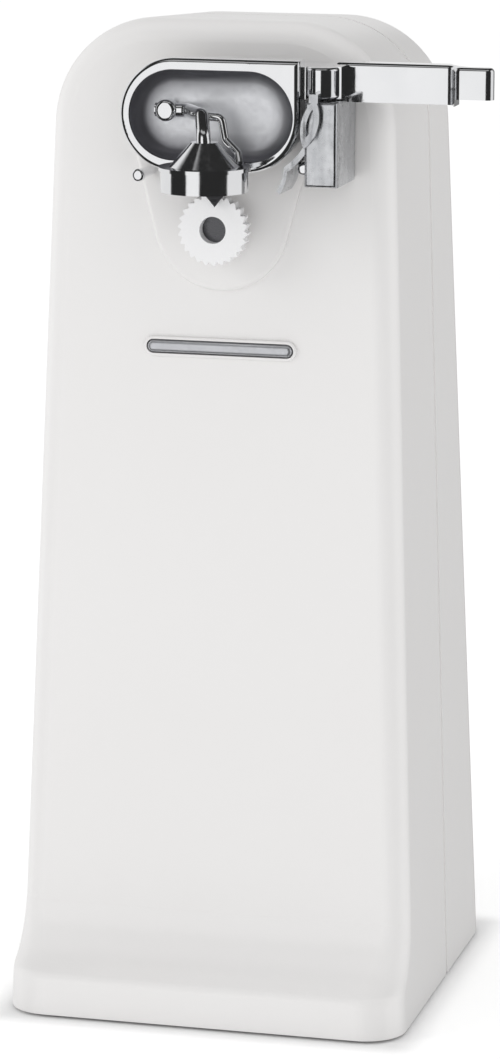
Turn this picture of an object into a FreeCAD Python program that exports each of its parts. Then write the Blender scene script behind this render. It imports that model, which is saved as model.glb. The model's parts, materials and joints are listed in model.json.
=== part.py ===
"""Electric can opener: a tower housing, a lever with blade and magnet, and a geared drive wheel.

Millimetres. +Z is up, -Y is the front, +X is the user's right. Heights below are drawn from a datum
2 mm under the table; the export lowers every sub-part by that much, so that the origin is the middle
of the footprint, on the table. Every sub-part is one STEP file in parts/.
"""
import FreeCAD, Part
import math
import os

V = FreeCAD.Vector
TAU = 2.0 * math.pi

# ---- driving dimensions ---------------------------------------------------------------------

# Housing
TABLE = 2.0                   # height of the table above the drawing datum
HEIGHT = 228.3                # top of the housing, reached at the front edge of the top
TOP_FALL = 0.06               # how much the top falls towards the back, per mm of depth
SHELL_BOTTOM = 2.5            # lower edge of the two shells
TOE_FRONT = -49.3             # upright front face of the toe
TOE_TOP = 10.0                # top of that face
TOE_CORNER_RADIUS = 9.5       # rounding of the toe's two front corners, seen from above
SIDE_HALF_WIDTH = 46.35       # half-width of the tower, carried down to the datum
SIDE_LEAN = 0.036             # how much each side leans in, per mm of height
FRONT_Y = -37.2               # front face of the tower, carried down to the datum
FRONT_LEAN = 0.0326           # how much the front leans back, per mm of height
REAR_Y = 50.0                 # back face of the tower, carried down to the datum
REAR_LEAN = 0.052             # how much the back leans forward, per mm of height
CROWN_RADIUS = 24.0           # rounding of the two top corners, seen from the front
FRONT_EDGE_RADIUS = 5.0
REAR_EDGE_RADIUS = 12.0
FLARE_TOP = 29.0              # height at which the toe's curve meets the front face
SHOULDER_RADIUS = 2.8         # convex rounding at the top of the toe's upright face
WALL = 2.2
SEAM_Y = 3.8                  # parting line between the shells, carried down to the datum
SEAM_LEAN = 0.016
SEAM_WIDTH = 1.6              # width of the shadow groove along the parting line
SEAM_DEPTH = 0.9

# Lever
PIVOT_X = -9.0                # lever shaft
PIVOT_Z = 210.0
HEAD_LEFT = -17.5
HEAD_RIGHT = 22.8
HEAD_BOTTOM = 196.8
HEAD_TOP = 221.4
HEAD_FRONT = -49.7
HEAD_BACK = -44.2
BODY_BACK = -34.2             # back of the casting behind the head
RIM = 2.2                     # bright rim left of the dish
RIM_RIGHT = 1.3
RIM_HIGH = 2.4                # rim above and below the dish
HUB_RIGHT = 30.8
HUB_BOTTOM = 213.0
HUB_TOP = 219.9
ARM_FRONT = -37.3
ARM_BACK = -33.2
ARM_BOTTOM = 211.7
ARM_TOP = 220.2
TAB_LEFT = 54.0
TAB_RIGHT = 63.5
TAB_STEP = 1.6                # how much higher the tab's lower edge is than the arm's
TAB_FORWARD = 4.2             # how far the thumb tab steps forward of the arm
LEVER_SHAFT_RADIUS = 3.5

# Magnet
MAGNET_X = 4.6
MAGNET_Y = -60.1
CUP_BOTTOM = 194.2
CUP_HEIGHT = 4.5
CUP_RADIUS = 9.6
CONE_HEIGHT = 5.2
MAGNET_PIN_X = -7.0           # post on the dish floor; the arm hinges in its cross hole
MAGNET_PIN_Y = -47.8
ARM_ROD_RADIUS = 1.55

# Drive
DRIVE_X = 0.8
DRIVE_Z = 182.8
WHEEL_RADIUS = 7.9
WHEEL_TEETH = 26
WHEEL_FRONT = -39.3
WHEEL_BACK = -36.1
DRIVE_SHAFT_RADIUS = 3.0
RUNNING_CLEARANCE = 0.04      # radial clearance of every shaft that turns

# Gear train: pinion teeth, gear teeth and module of each stage, from the motor outwards
STAGE_1 = (10, 50, 0.6)
STAGE_2 = (12, 48, 0.7)
STAGE_3 = (12, 54, 0.8)
PRESSURE_ANGLE = math.radians(20.0)
PROFILE_SHIFT = 0.35          # long-and-short addendum: plus on pinions, minus on gears
BACKLASH = 0.16               # thinning of each tooth at the pitch circle
SECOND_OFFSET_X = -12.0       # second axle, relative to the drive shaft
FIRST_OFFSET_X = 14.0         # first axle, relative to the second
MOTOR_OFFSET_X = -2.8         # motor shaft, relative to the first axle
AXLE_RADIUS = 2.0

# Gear frames
FRONT_FRAME_Y = -27.0
REAR_FRAME_Y = -5.0
PLATE = 1.5
FRAME_HALF_WIDTH = 24.0
FRAME_TOP = 218.0

# Motor
STATOR_FRONT = 2.0
STATOR_BACK = 20.0
STATOR_HALF_WIDTH = 24.0
ROTOR_RADIUS = 12.0
AIR_GAP = 0.35
LIMB_BOTTOM = 84.0
LIMB_TOP = 95.0


# ---- small helpers --------------------------------------------------------------------------

def box(x0, x1, y0, y1, z0, z1):
    return Part.makeBox(x1 - x0, y1 - y0, z1 - z0, V(x0, y0, z0))


def rod_y(x, z, radius, y0, y1):
    return Part.makeCylinder(radius, y1 - y0, V(x, y0, z), V(0, 1, 0))


def rod_x(y, z, radius, x0, x1):
    return Part.makeCylinder(radius, x1 - x0, V(x0, y, z), V(1, 0, 0))


def rod_z(x, y, radius, z0, z1):
    return Part.makeCylinder(radius, z1 - z0, V(x, y, z0), V(0, 0, 1))


def fuse(*shapes):
    return shapes[0].multiFuse(list(shapes[1:])).removeSplitter()


def stadium_wire(x0, x1, z0, z1, y):
    """Outline with straight top and bottom and half-round ends, in the plane y."""
    r = 0.5 * (z1 - z0)
    zc = 0.5 * (z0 + z1)
    lower = Part.LineSegment(V(x0 + r, y, z0), V(x1 - r, y, z0))
    right = Part.Arc(V(x1 - r, y, z0), V(x1, y, zc), V(x1 - r, y, z1))
    upper = Part.LineSegment(V(x1 - r, y, z1), V(x0 + r, y, z1))
    left = Part.Arc(V(x0 + r, y, z1), V(x0, y, zc), V(x0 + r, y, z0))
    return Part.Wire([g.toShape() for g in (lower, right, upper, left)])


def stadium(x0, x1, z0, z1, y0, y1):
    return Part.Face(stadium_wire(x0, x1, z0, z1, y0)).extrude(V(0, y1 - y0, 0))


def prism(points, direction):
    """Straight-sided solid: the closed polygon through points, swept along direction."""
    return Part.Face(Part.makePolygon(points + [points[0]])).extrude(direction)


def rounded_rect(half_x, y0, y1, r_front, r_rear, z0, z1):
    """Upright block with rounded vertical corners, smaller ones at the front."""
    block = box(-half_x, half_x, y0, y1, z0, z1)
    upright = [e for e in block.Edges if abs(e.Vertexes[0].X - e.Vertexes[1].X) < 1e-6
               and abs(e.Vertexes[0].Y - e.Vertexes[1].Y) < 1e-6]
    front = [e for e in upright if e.Vertexes[0].Y < 0.5 * (y0 + y1)]
    rounded = block.makeFillet(r_front, front)
    rear = [e for e in rounded.Edges if abs(e.Vertexes[0].Y - y1) < 1e-6
            and abs(e.Vertexes[-1].Y - y1) < 1e-6 and abs(e.Vertexes[0].Z - e.Vertexes[-1].Z) > 0.5]
    return rounded.makeFillet(r_rear, rear)


def bent_rod(points, bend_radius, rod_radius):
    """Round rod along straight runs joined by tangent arcs of one radius."""
    edges = []
    start = points[0]
    for before, corner, after in zip(points, points[1:], points[2:]):
        into = (corner - before).normalize()
        out = (after - corner).normalize()
        turn = into.getAngle(out)
        trim = bend_radius * math.tan(0.5 * turn)
        first = corner - into * trim
        last = corner + out * trim
        inward = (out - into).normalize()
        centre = corner + inward * (bend_radius / math.cos(0.5 * turn))
        middle = centre - inward * bend_radius
        edges.append(Part.LineSegment(start, first).toShape())
        edges.append(Part.Arc(first, middle, last).toShape())
        start = last
    edges.append(Part.LineSegment(start, points[-1]).toShape())
    section = Part.Wire(Part.makeCircle(rod_radius, points[0], points[1] - points[0]))
    return Part.Wire(edges).makePipeShell([section], True, False)


def head_screw(x, z, y_head, y_tip, head_radius, shank_radius, head_height):
    """Pan-head screw along Y with a driver recess; y_tip may lie on either side of the head."""
    way = 1.0 if y_tip > y_head else -1.0
    head = Part.makeCylinder(head_radius, head_height, V(x, y_head, z), V(0, way, 0))
    shank = Part.makeCylinder(shank_radius, abs(y_tip - y_head) - head_height,
                              V(x, y_head + way * head_height, z), V(0, way, 0))
    depth = 0.6 * head_height
    slot_a = box(x - 0.4, x + 0.4, -depth, depth, z - 0.6 * head_radius, z + 0.6 * head_radius)
    slot_b = box(x - 0.6 * head_radius, x + 0.6 * head_radius, -depth, depth, z - 0.4, z + 0.4)
    recess = slot_a.fuse(slot_b)
    recess.translate(V(0, y_head, 0))
    return head.fuse(shank).cut(recess)


def upright_screw(x, y, z_head, z_tip, head_radius, shank_radius, head_height):
    """The same screw, pointing up from z_head."""
    screw = head_screw(0.0, 0.0, 0.0, z_tip - z_head, head_radius, shank_radius, head_height)
    screw.rotate(V(0, 0, 0), V(1, 0, 0), 90)
    screw.translate(V(x, y, z_head))
    return screw


def spread(shapes):
    """Identical pieces kept as separate solids of one node."""
    return Part.makeCompound(shapes)


# ---- gears ----------------------------------------------------------------------------------

def involute(angle):
    return math.tan(angle) - angle


def gear(x, z, teeth, module, shift, phase, y0, y1):
    """Involute spur gear about the Y axis through (x, z), with one tooth centred at phase."""
    pitch = 0.5 * module * teeth
    base = pitch * math.cos(PRESSURE_ANGLE)
    tip = pitch + module * min(1.0 + shift, 1.2)
    root = pitch - module * (1.25 - shift)
    half_pitch = (0.5 * math.pi + 2.0 * shift * math.tan(PRESSURE_ANGLE)) / teeth
    half_pitch -= 0.5 * BACKLASH / pitch
    start = max(base, root) + 0.001

    def half_angle(radius):
        return half_pitch + involute(PRESSURE_ANGLE) - involute(math.acos(base / radius))

    def at(radius, angle):
        return V(x + radius * math.cos(angle), y0, z + radius * math.sin(angle))

    edges = []
    step = TAU / teeth
    middle = 0.5 * (start + tip)
    for k in range(teeth):
        centre = phase + k * step
        a_low, a_mid, a_tip = half_angle(start), half_angle(middle), half_angle(tip)
        rise = [at(start, centre - a_low), at(middle, centre - a_mid), at(tip, centre - a_tip)]
        fall = [at(tip, centre + a_tip), at(middle, centre + a_mid), at(start, centre + a_low)]
        next_low = centre + step - a_low
        if start - root > 0.02:
            edges.append(Part.LineSegment(at(root, centre - a_low), rise[0]))
        edges.append(Part.Arc(*rise))
        edges.append(Part.Arc(rise[2], at(tip, centre), fall[0]))
        edges.append(Part.Arc(*fall))
        floor = start
        if start - root > 0.02:
            edges.append(Part.LineSegment(fall[2], at(root, centre + a_low)))
            floor = root
        edges.append(Part.Arc(at(floor, centre + a_low), at(floor, centre + 0.5 * step),
                              at(floor, next_low)))
    outline = Part.Wire([e.toShape() for e in edges])
    return Part.Face(outline).extrude(V(0, y1 - y0, 0))


def step_from(x, z, distance, offset_x):
    """Centre at the given distance below (x, z), offset sideways by offset_x."""
    return x + offset_x, z - math.sqrt(distance ** 2 - offset_x ** 2)


def centre_distance(stage):
    return 0.5 * stage[2] * (stage[0] + stage[1])


SECOND_X, SECOND_Z = step_from(DRIVE_X, DRIVE_Z, centre_distance(STAGE_3), SECOND_OFFSET_X)
FIRST_X, FIRST_Z = step_from(SECOND_X, SECOND_Z, centre_distance(STAGE_2), FIRST_OFFSET_X)
MOTOR_X, MOTOR_Z = step_from(FIRST_X, FIRST_Z, centre_distance(STAGE_1), MOTOR_OFFSET_X)


def mesh_phases(from_x, from_z, to_x, to_z, gear_teeth):
    """A pinion tooth points at the gear, and the gear turns a gap towards it."""
    towards = math.atan2(to_z - from_z, to_x - from_x)
    return towards, towards + math.pi + math.pi / gear_teeth


# ---- housing --------------------------------------------------------------------------------

def half_width(z):
    return SIDE_HALF_WIDTH - SIDE_LEAN * z


def front_at(z):
    return FRONT_Y + FRONT_LEAN * z


def rear_at(z):
    return REAR_Y - REAR_LEAN * z


def on_plane(edge, point, normal):
    ends = [edge.valueAt(edge.FirstParameter), edge.valueAt(edge.LastParameter)]
    ends.append(edge.valueAt(0.5 * (edge.FirstParameter + edge.LastParameter)))
    return all(abs((p - point).dot(normal)) < 1e-3 for p in ends)


UNDER = SHELL_BOTTOM - 10.0   # the tower is drawn down to here, and each finished shell is trimmed


def tower_sides(inset):
    """The two leaning side faces, run through the whole depth and past both ends."""
    top = HEIGHT + 10.0
    low = half_width(UNDER) - inset
    high = half_width(top) - inset
    y0 = -60.0
    outline = [V(-low, y0, UNDER), V(low, y0, UNDER), V(high, y0, top), V(-high, y0, top)]
    return prism(outline, V(0, 120.0, 0))


def tower(inset):
    """The tower without its toe, with every face moved inwards by inset."""
    x0 = -60.0
    brow = front_at(HEIGHT)
    top_z = (HEIGHT - inset + TOP_FALL * (brow - FRONT_Y - inset)) / (1.0 + TOP_FALL * FRONT_LEAN)
    top_y = front_at(top_z) + inset
    back_y = REAR_Y + 10.0
    profile = [V(x0, front_at(UNDER) + inset, UNDER), V(x0, top_y, top_z),
               V(x0, back_y, top_z - TOP_FALL * (back_y - top_y)), V(x0, back_y, UNDER)]
    block = tower_sides(inset).common(prism(profile, V(120, 0, 0)))
    behind = [V(x0, rear_at(UNDER) - inset, UNDER), V(x0, rear_at(HEIGHT) - inset, HEIGHT),
              V(x0, 80.0, HEIGHT), V(x0, 80.0, UNDER)]
    block = block.cut(prism(behind, V(120, 0, 0)))
    crown_normal = V(0, TOP_FALL, 1).normalize()
    crown = [e for e in block.Edges if on_plane(e, V(0, top_y, top_z), crown_normal)
             and e.BoundBox.YLength > 20.0]
    block = block.makeFillet(CROWN_RADIUS - inset, crown)
    front_point = V(0, front_at(0) + inset, 0)
    front_normal = V(0, -1, FRONT_LEAN).normalize()
    rear_point = V(0, rear_at(0) - inset, 0)
    rear_normal = V(0, 1, REAR_LEAN).normalize()
    front_edges = [e for e in block.Edges if on_plane(e, front_point, front_normal)
                   and e.BoundBox.ZMax > UNDER + 1.0]
    block = block.makeFillet(FRONT_EDGE_RADIUS - 0.6 * inset, front_edges)
    rear_edges = [e for e in block.Edges if on_plane(e, rear_point, rear_normal)
                  and e.BoundBox.ZMax > UNDER + 1.0]
    return block.makeFillet(REAR_EDGE_RADIUS - inset, rear_edges).Solids[0]


def toe_section(half, front, z, r):
    """Level outline of the toe: rounded front corners, square where it enters the tower."""
    c = r * (1.0 - math.sqrt(0.5))
    back = -15.0
    edges = [
        Part.LineSegment(V(-half, back, z), V(-half, front + r, z)),
        Part.Arc(V(-half, front + r, z), V(-half + c, front + c, z), V(-half + r, front, z)),
        Part.LineSegment(V(-half + r, front, z), V(half - r, front, z)),
        Part.Arc(V(half - r, front, z), V(half - c, front + c, z), V(half, front + r, z)),
        Part.LineSegment(V(half, front + r, z), V(half, back, z)),
        Part.LineSegment(V(half, back, z), V(-half, back, z)),
    ]
    return Part.Wire([e.toShape() for e in edges])


def toe(inset):
    """Flared toe: an upright face, a small convex shoulder, then a concave sweep up to the front.

    The two arcs of its side view meet at one angle, fixed by the rise and the run between them.
    Its corners grow from the tower's small rounding to the large one at the foot.
    """
    front = TOE_FRONT + inset
    shoulder_z = TOE_TOP - 0.5 * inset
    meet = front_at(FLARE_TOP) + inset
    rise = FLARE_TOP - shoulder_z
    run = meet - front
    angle = 2.0 * math.atan2(run, rise)
    sweep_radius = rise / math.sin(angle) - SHOULDER_RADIUS
    side_view = []
    for k in range(5):
        a = angle * k / 4
        side_view.append((front + SHOULDER_RADIUS * (1.0 - math.cos(a)),
                          shoulder_z + SHOULDER_RADIUS * math.sin(a)))
    for k in range(5, -1, -1):
        a = angle * k / 6
        side_view.append((meet - sweep_radius * (1.0 - math.cos(a)),
                          FLARE_TOP - sweep_radius * math.sin(a)))

    def section(y, z):
        share = (meet - y) / run
        r = FRONT_EDGE_RADIUS + (TOE_CORNER_RADIUS - FRONT_EDGE_RADIUS) * share - 0.6 * inset
        return toe_section(half_width(z) - inset, y, z, r)

    upper = Part.makeLoft([section(y, z) for y, z in side_view], True, False)
    lower = Part.makeLoft([section(front, SHELL_BOTTOM), section(front, shoulder_z)], True, True)
    return upper.fuse(lower)


def apron_outline(y):
    """Raised U around the drive wheel: slanted sides and a round bottom."""
    half_top, top, radius, bottom = 21.0, 203.0, 15.5, 168.3
    centre = V(0.8, y, bottom + radius)
    lean = math.atan2(half_top - radius, top - centre.z)
    swing = V(radius * math.cos(lean), 0, -radius * math.sin(lean))
    right = centre + swing
    left = V(centre.x - swing.x, y, centre.z + swing.z)
    low = V(centre.x, y, bottom)
    top_right = V(centre.x + half_top, y, top)
    top_left = V(centre.x - half_top, y, top)
    return Part.Wire([
        Part.Arc(left, low, right).toShape(),
        Part.LineSegment(right, top_right).toShape(),
        Part.LineSegment(top_right, top_left).toShape(),
        Part.LineSegment(top_left, left).toShape(),
    ])


APRON_PROUD = 1.2


def apron():
    """The U lies parallel to the leaning front face, 1.2 mm proud, with its rim eased."""
    block = Part.Face(apron_outline(0.0)).extrude(V(0, 4.0, 0))
    rim = [e for e in block.Edges if e.BoundBox.YMax < 0.01]
    block = block.makeFillet(1.0, rim)
    block.translate(V(0, front_at(DRIVE_Z) - APRON_PROUD, 0))
    tilt = -math.degrees(math.atan(FRONT_LEAN))
    block.rotate(V(0, front_at(DRIVE_Z), DRIVE_Z), V(1, 0, 0), tilt)
    return block


def seam_slab(y_from, y_to):
    """Everything between two offsets from the leaning parting plane."""
    profile = [V(-70, SEAM_Y + y_from, 0), V(-70, SEAM_Y + 250 * SEAM_LEAN + y_from, 250),
               V(-70, SEAM_Y + 250 * SEAM_LEAN + y_to, 250), V(-70, SEAM_Y + y_to, 0)]
    return prism(profile, V(140, 0, 0))


BOSS_SPOTS = [(-34.0, 26.0), (34.0, 26.0), (-31.0, 186.0), (31.0, 186.0)]
BOSS_RADIUS = 3.6
POST_SPOTS = [(-20.0, 132.8), (20.0, 132.8), (-20.0, 208.0), (20.0, 208.0)]
BASE_SPOTS_FRONT = [(-35.0, -31.0), (35.0, -31.0)]
BASE_SPOTS_REAR = [(-35.0, 32.0), (35.0, 32.0)]
GUIDE_SPOTS = [(-15.0, 194.9), (22.3, 197.5)]
BLOCK_SCREW_SPOTS = [(27.8, 200.5), (27.8, 209.0)]
BAR_Z = 155.4
PLATE_BOTTOM = 3.0
PLATE_TOP = 5.0
GROMMET_Z = 18.0


def seam_at(z):
    return SEAM_Y + SEAM_LEAN * z


OUTER = tower(0.0).fuse(toe(0.0)).removeSplitter()
INNER = tower(WALL).fuse(toe(WALL)).removeSplitter()
HOUSING = OUTER.cut(INNER)


def front_shell():
    shell = HOUSING.common(seam_slab(-80, 0))
    shell = shell.fuse(apron().cut(INNER))
    for x, z in BOSS_SPOTS:
        boss = rod_y(x, z, BOSS_RADIUS, front_at(z) + 0.3 * WALL, seam_at(z) - 0.3)
        shell = shell.fuse(boss.cut(rod_y(x, z, 1.2, seam_at(z) - 12.0, seam_at(z) + 1.0)))
    for x, z in POST_SPOTS:
        post = rod_y(x, z, 4.0, front_at(z) + 0.5 * WALL, FRONT_FRAME_Y)
        shell = shell.fuse(post)
    for x, y in BASE_SPOTS_FRONT:
        shell = shell.fuse(base_boss(x, y))
    cutters = [rod_y(x, z, 1.25, front_at(z) + 0.9 * WALL, FRONT_FRAME_Y + 1.0) for x, z in POST_SPOTS]
    cutters += [rod_y(x, z, 1.1, front_at(z) - 3.0, front_at(z) + 6.0) for x, z in GUIDE_SPOTS]
    cutters += [rod_y(x, z, 1.7, front_at(z) - 3.0, front_at(z) + 6.0) for x, z in BLOCK_SCREW_SPOTS]
    cutters.append(rod_y(DRIVE_X, DRIVE_Z, 5.2, -40.0, -26.0))
    cutters.append(rod_y(PIVOT_X, PIVOT_Z, 5.5, -40.0, -26.0))
    cutters.append(stadium(-16.9, 18.3, BAR_Z - 2.3, BAR_Z + 2.3, -40.0, -26.0))
    return trimmed(shell.cut(Part.makeCompound(cutters)))


def base_boss(x, y):
    """Screw pillar that stands on the base plate, webbed to the side wall."""
    pillar = rod_z(x, y, 4.0, PLATE_TOP, 20.0)
    side = 1.0 if x > 0 else -1.0
    wall_x = side * (half_width(12.0) - 0.5 * WALL)
    web = box(min(x, wall_x), max(x, wall_x), y - 1.0, y + 1.0, PLATE_TOP, 18.0)
    pilot = rod_z(x, y, 1.25, SHELL_BOTTOM, 16.0)
    return pillar.fuse(web).cut(pilot)


def rear_shell():
    shell = HOUSING.common(seam_slab(0, 80))
    groove = seam_slab(-1.0, SEAM_WIDTH).cut(fuse(tower(SEAM_DEPTH), toe(SEAM_DEPTH)))
    shell = shell.cut(groove.common(box(-70, 70, -60, 60, SHELL_BOTTOM - 1, HEIGHT + 5)))
    for x, z in BOSS_SPOTS:
        post = rod_y(x, z, 4.4, seam_at(z) + 0.3, rear_at(z) - 0.8 * WALL)
        shell = shell.fuse(post)
    for x, y in BASE_SPOTS_REAR:
        shell = shell.fuse(base_boss(x, y))
    cutters = [rod_y(x, z, 1.7, -5.0, 60.0) for x, z in BOSS_SPOTS]
    cutters += [rod_y(x, z, 3.2, seam_at(z) + 6.0, 60.0) for x, z in BOSS_SPOTS]
    cutters.append(rod_y(0.0, GROMMET_Z, 5.0, 40.0, 60.0))
    vents = []
    for row in range(7):
        z = 104.0 + 6.0 * row
        vents.append(stadium(-14.0, 14.0, z - 1.2, z + 1.2, 36.0, 60.0))
    return trimmed(shell.cut(Part.makeCompound(cutters + vents)))


def trimmed(shell):
    """The shell without what lies below its lower edge."""
    return shell.cut(box(-80.0, 80.0, -80.0, 80.0, UNDER - 1.0, SHELL_BOTTOM)).removeSplitter()


def inside_walls(gap, z0, z1):
    """Level slab that follows the inside of the walls at the foot, with a gap all round."""
    return rounded_rect(half_width(3.0) - WALL - gap, TOE_FRONT + WALL + gap, rear_at(3.0) - WALL - gap,
                        TOE_CORNER_RADIUS - 0.6 * WALL - gap, REAR_EDGE_RADIUS - WALL, z0, z1)


def base_plate():
    """Bottom cover, sunk a little inside the lower edge of the shells."""
    spots = BASE_SPOTS_FRONT + BASE_SPOTS_REAR
    sheet = inside_walls(0.4, PLATE_BOTTOM, PLATE_TOP - 0.6)
    pads = [rod_z(x, y, 5.0, PLATE_BOTTOM, PLATE_TOP) for x, y in spots]
    holes = [rod_z(x, y, 1.7, 0.0, 8.0) for x, y in spots]
    sinks = [rod_z(x, y, 3.1, 0.0, PLATE_TOP - 0.7) for x, y in spots]
    return fuse(sheet, *pads).cut(Part.makeCompound(holes + sinks))


def foot_ring():
    return inside_walls(0.9, TABLE, PLATE_BOTTOM).cut(inside_walls(6.0, TABLE - 1.0, PLATE_BOTTOM + 1.0))


def base_screws():
    spots = BASE_SPOTS_FRONT + BASE_SPOTS_REAR
    return spread([upright_screw(x, y, PLATE_BOTTOM + 0.1, 15.0, 2.9, 1.25, 1.2) for x, y in spots])


def shell_screws():
    return spread([head_screw(x, z, seam_at(z) + 8.2, seam_at(z) - 10.0, 3.0, 1.2, 2.2)
                   for x, z in BOSS_SPOTS])


def cord_grommet():
    """Gland for the mains cord, low in the middle of the back."""
    face = rear_at(GROMMET_Z)
    body = fuse(rod_y(0, GROMMET_Z, 4.95, face - WALL - 3.0, face + 1.0),
                rod_y(0, GROMMET_Z, 6.6, face + 0.5, face + 2.3),
                rod_y(0, GROMMET_Z, 6.2, face - WALL - 2.2, face - WALL - 0.6))
    return body.cut(rod_y(0, GROMMET_Z, 3.1, face - 10.0, face + 5.0))


# ---- front fittings -------------------------------------------------------------------------

def bar_bezel():
    """Bright rim with rounded edges around the dark slot that the bar lies in."""
    rim = stadium(-16.9, 18.3, BAR_Z - 2.3, BAR_Z + 2.3, -32.8, -29.6)
    lip = [e for e in rim.Edges if e.BoundBox.YMax < -32.7]
    rim = rim.makeFillet(0.45, lip)
    return rim.cut(stadium(-16.2, 17.6, BAR_Z - 1.6, BAR_Z + 1.6, -34.0, -30.6))


def stability_bar():
    """Half-round bar, a little proud of its rim, on a foot that fills the slot's floor."""
    bar = stadium(-15.9, 17.3, BAR_Z - 1.3, BAR_Z + 1.3, -33.4, -30.6)
    nose = [e for e in bar.Edges if e.BoundBox.YMax < -33.3]
    return bar.makeFillet(0.85, nose)


def guide_posts():
    posts = []
    for x, z in GUIDE_SPOTS:
        face = front_at(z)
        knob = rod_y(x, z, 1.45, face - 12.8, face - 10.8)
        knob = knob.makeFillet(0.7, [e for e in knob.Edges if e.BoundBox.YLength < 0.01])
        posts.append(fuse(rod_y(x, z, 1.1, face - 11.6, face + WALL + 1.2), knob))
    return spread(posts)


BLOCK_LEFT = 24.0
BLOCK_RIGHT = 31.2
BLOCK_BOTTOM = 194.3
BLOCK_TOP = 212.7
PAD = 1.8                     # thickness of the dark pad between the block and the housing


def behind_face(offset):
    """Everything behind the leaning front face, or behind a plane in front of it."""
    return prism([V(20, front_at(190.0) + offset, 190.0), V(20, front_at(220.0) + offset, 220.0),
                  V(20, -20.0, 220.0), V(20, -20.0, 190.0)], V(15, 0, 0))


def block_pad():
    pad = box(BLOCK_LEFT + 0.4, BLOCK_RIGHT - 0.4, -40.0, -28.0, BLOCK_BOTTOM + 0.4, BLOCK_TOP - 0.4)
    pad = pad.common(behind_face(-PAD)).cut(behind_face(0.0))
    return pad.cut(Part.makeCompound([rod_y(x, z, 1.4, -40.0, -25.0) for x, z in BLOCK_SCREW_SPOTS]))


def stop_block():
    block = box(BLOCK_LEFT, BLOCK_RIGHT, HEAD_FRONT, front_at(200.0), BLOCK_BOTTOM, BLOCK_TOP)
    front = [e for e in block.Edges if e.BoundBox.YMax < -45.0]
    block = block.makeFillet(0.7, front)
    block = block.cut(behind_face(-PAD))
    pilots = [rod_y(x, z, 1.2, -40.0, -25.0) for x, z in BLOCK_SCREW_SPOTS]
    return block.cut(Part.makeCompound(pilots))


def block_screws():
    return spread([head_screw(x, z, front_at(z) + WALL + 2.1, -39.0, 2.8, 1.2, 1.9)
                   for x, z in BLOCK_SCREW_SPOTS])


def can_guide():
    """Curved finger that follows the right end of the oval head and curls away below it."""
    centre = V(11.05, 0, 210.05)
    radius, thickness, y0, y1 = 14.2, 1.2, -47.5, -36.0
    low, mid, high = -56.0, -42.0, -29.0

    def at(r, degrees):
        a = math.radians(degrees)
        return V(centre.x + r * math.cos(a), y0, centre.z + r * math.sin(a))

    inner = [at(radius, a) for a in (high, mid, low)]
    outer = [at(radius + thickness, a) for a in (high, mid, low)]
    tail = V(17.4, y0, 193.0)
    tail_out = V(18.0, y0, 192.3)
    edges = [Part.Arc(*inner).toShape(),
             Part.Arc(inner[2], V(18.5, y0, 195.6), tail).toShape(),
             Part.LineSegment(tail, tail_out).toShape(),
             Part.Arc(tail_out, V(19.3, y0, 195.0), outer[2]).toShape(),
             Part.Arc(outer[2], outer[1], outer[0]).toShape(),
             Part.LineSegment(outer[0], inner[0]).toShape()]
    finger = Part.Face(Part.Wire(edges)).extrude(V(0, y1 - y0, 0))
    foot = box(at(radius, high).x - 1.5, BLOCK_LEFT, y0, y1, 202.6, 205.0)
    block_side = box(BLOCK_LEFT, BLOCK_RIGHT, -60.0, -20.0, 190.0, 220.0)
    foot = foot.cut(rod_y(centre.x, centre.z, radius + 0.5, -60.0, -20.0))
    return finger.fuse(foot).cut(block_side).removeSplitter()


# ---- lever ----------------------------------------------------------------------------------

DISH_FLOOR = -46.2
DISH_BACK = -45.4
BLADE_FRONT = -41.8
BLADE_BACK = -40.2
BLADE_SCREW_X = 1.5
BLADE_SCREW_Z = 204.0


def arm_profile():
    """Plan view of the arm and its thumb tab, which steps forward through an S-curve."""
    z = ARM_BOTTOM
    tab_front = ARM_FRONT - TAB_FORWARD
    tab_back = tab_front + 3.4
    round_x = TAB_RIGHT - 1.7
    left = HUB_RIGHT - 3.0
    s0, s1 = TAB_LEFT - 1.5, TAB_LEFT + 2.5
    mid_x = 0.5 * (s0 + s1)
    mid_front = 0.5 * (ARM_FRONT + tab_front)
    edges = [
        Part.LineSegment(V(left, ARM_FRONT, z), V(s0, ARM_FRONT, z)),
        Part.Arc(V(s0, ARM_FRONT, z), V(s0 + 1.4, ARM_FRONT - 0.6, z), V(mid_x, mid_front, z)),
        Part.Arc(V(mid_x, mid_front, z), V(s1 - 1.4, tab_front + 0.6, z), V(s1, tab_front, z)),
        Part.LineSegment(V(s1, tab_front, z), V(round_x, tab_front, z)),
        Part.Arc(V(round_x, tab_front, z), V(TAB_RIGHT, tab_front + 1.7, z), V(round_x, tab_back, z)),
        Part.LineSegment(V(round_x, tab_back, z), V(s1 + 1.6, tab_back, z)),
        Part.Arc(V(s1 + 1.6, tab_back, z), V(s1 - 0.6, tab_back + 1.6, z), V(s1 - 3.0, ARM_BACK, z)),
        Part.LineSegment(V(s1 - 3.0, ARM_BACK, z), V(left, ARM_BACK, z)),
        Part.LineSegment(V(left, ARM_BACK, z), V(left, ARM_FRONT, z)),
    ]
    return Part.Face(Part.Wire([e.toShape() for e in edges]))


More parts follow.
